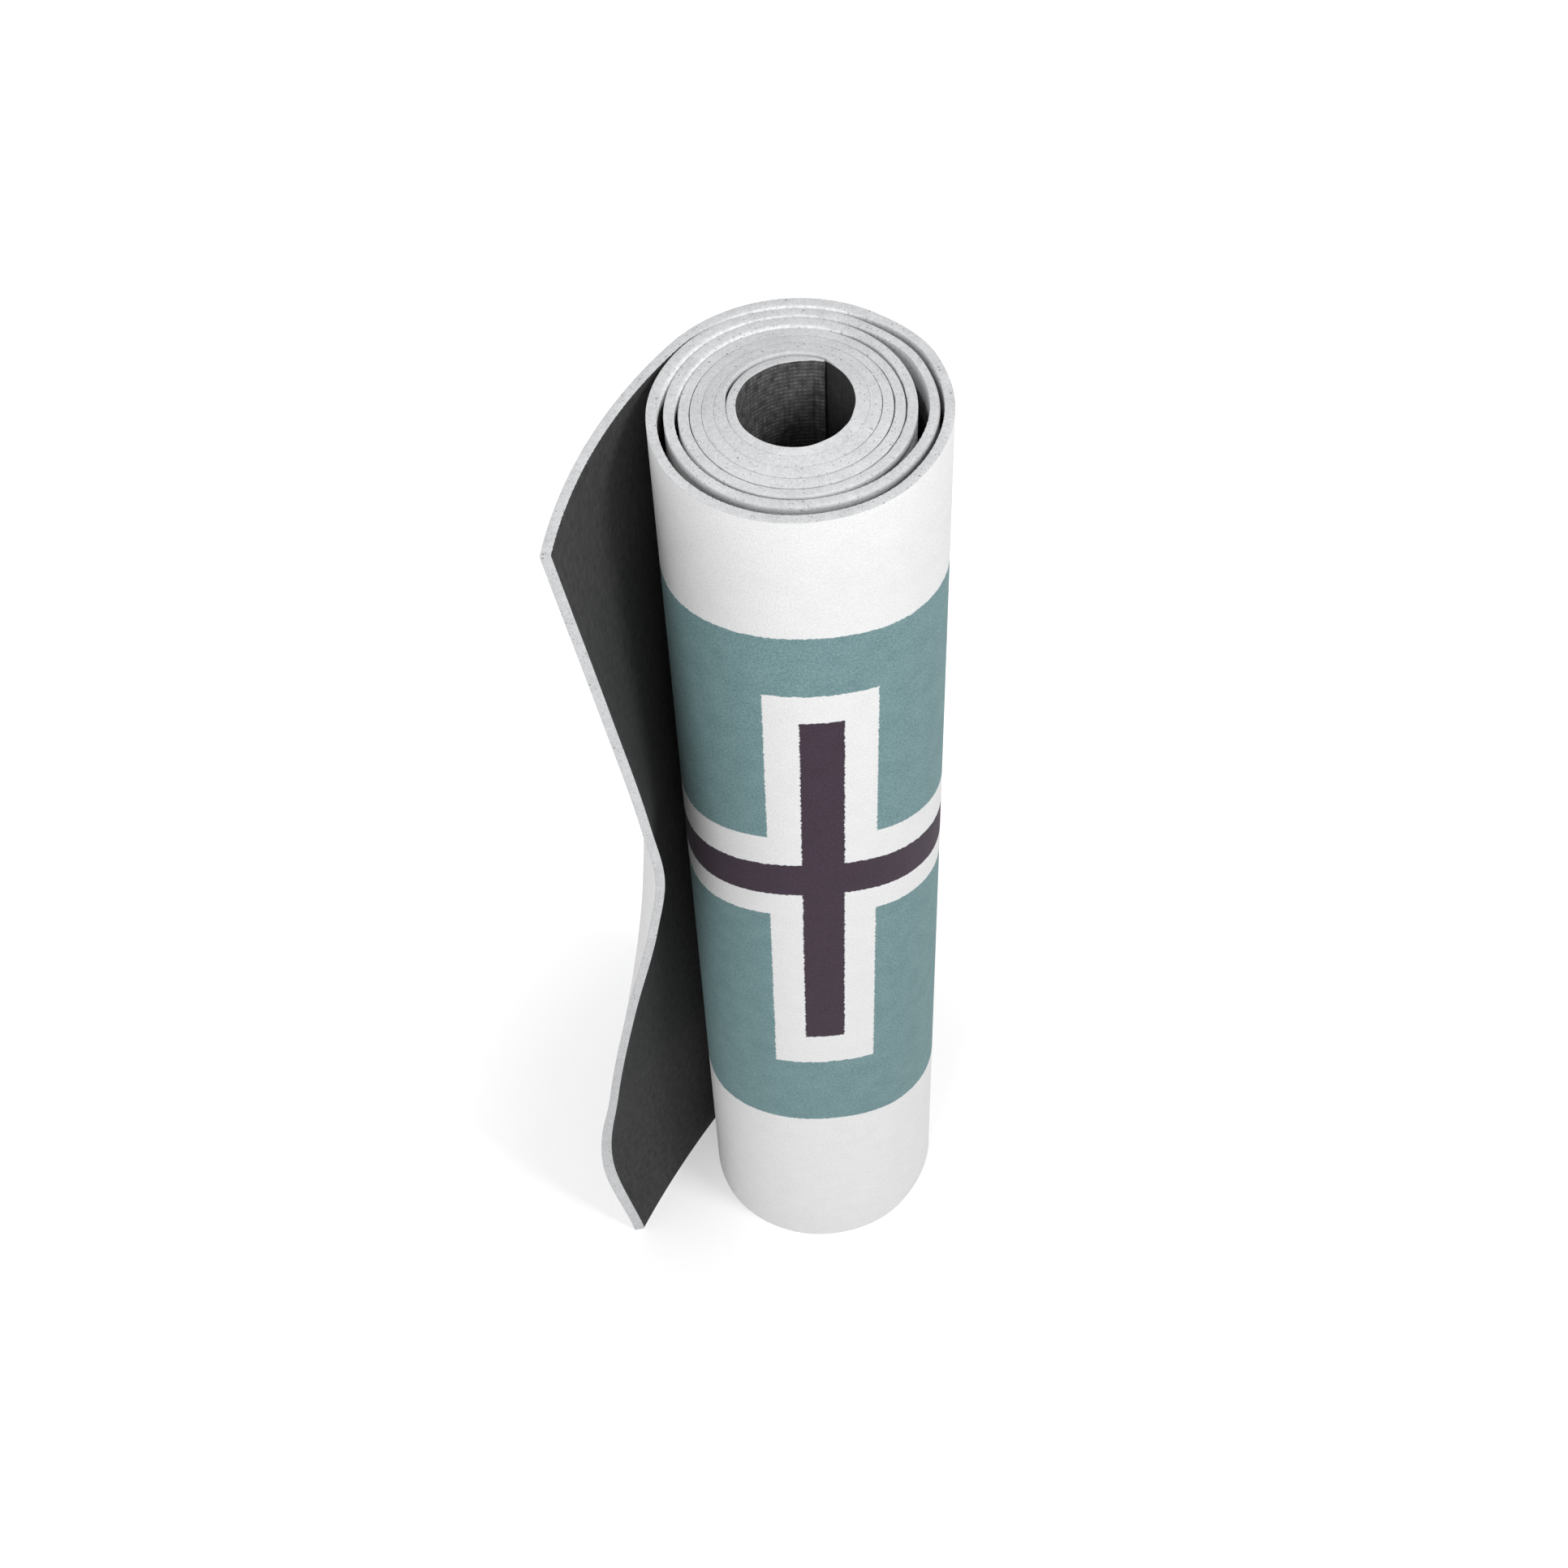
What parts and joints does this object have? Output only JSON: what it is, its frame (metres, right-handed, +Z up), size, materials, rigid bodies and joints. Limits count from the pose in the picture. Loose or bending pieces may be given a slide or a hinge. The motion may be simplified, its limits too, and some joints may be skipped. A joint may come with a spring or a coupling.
{
  "type": "yoga mat",
  "caption": "Rolled foam exercise mat standing on its long edge, printed side out, with a loose end that curls away from the roll and swings where it leaves it.",
  "frame": {"origin": "centre of the footprint of roll and loose end together, on the floor", "axes": "+Z up along the roll's axis, +Y away from the viewer of the picture, +X to the viewer's right"},
  "size_m": [0.1848, 0.1408, 0.6144],
  "materials": {
    "printed_face": "fine ribbed emboss, white with a printed teal band and an aubergine bar and cross",
    "foam_core": "cut closed-cell foam, dull and slightly rough",
    "grip_backing": "matt black with a fine woven texture"
  },
  "bodies": {
    "roll": {"roll_face": "printed_face", "roll_core": "foam_core", "roll_backing": "grip_backing"},
    "root_strip": {"root_strip_face": "printed_face", "root_strip_core": "foam_core", "root_strip_backing": "grip_backing"},
    "tip_strip": {"tip_strip_face": "printed_face", "tip_strip_core": "foam_core", "tip_strip_backing": "grip_backing"}
  },
  "joints": [
    {"name": "loose_end_root", "type": "hinge", "parent": "roll", "child": "root_strip", "pos_m": [-0.01871, 0.05041, 0.305], "axis": [0, 0, -1], "range_deg": [0, 70], "stiffness_Nm_per_rad": 0.05},
    {"name": "loose_end_bend", "type": "hinge", "parent": "root_strip", "child": "tip_strip", "pos_m": [-0.04821, 0.00726, 0.305], "axis": [0, 0, -1], "range_deg": [-12, 25], "stiffness_Nm_per_rad": 0.05}
  ]
}
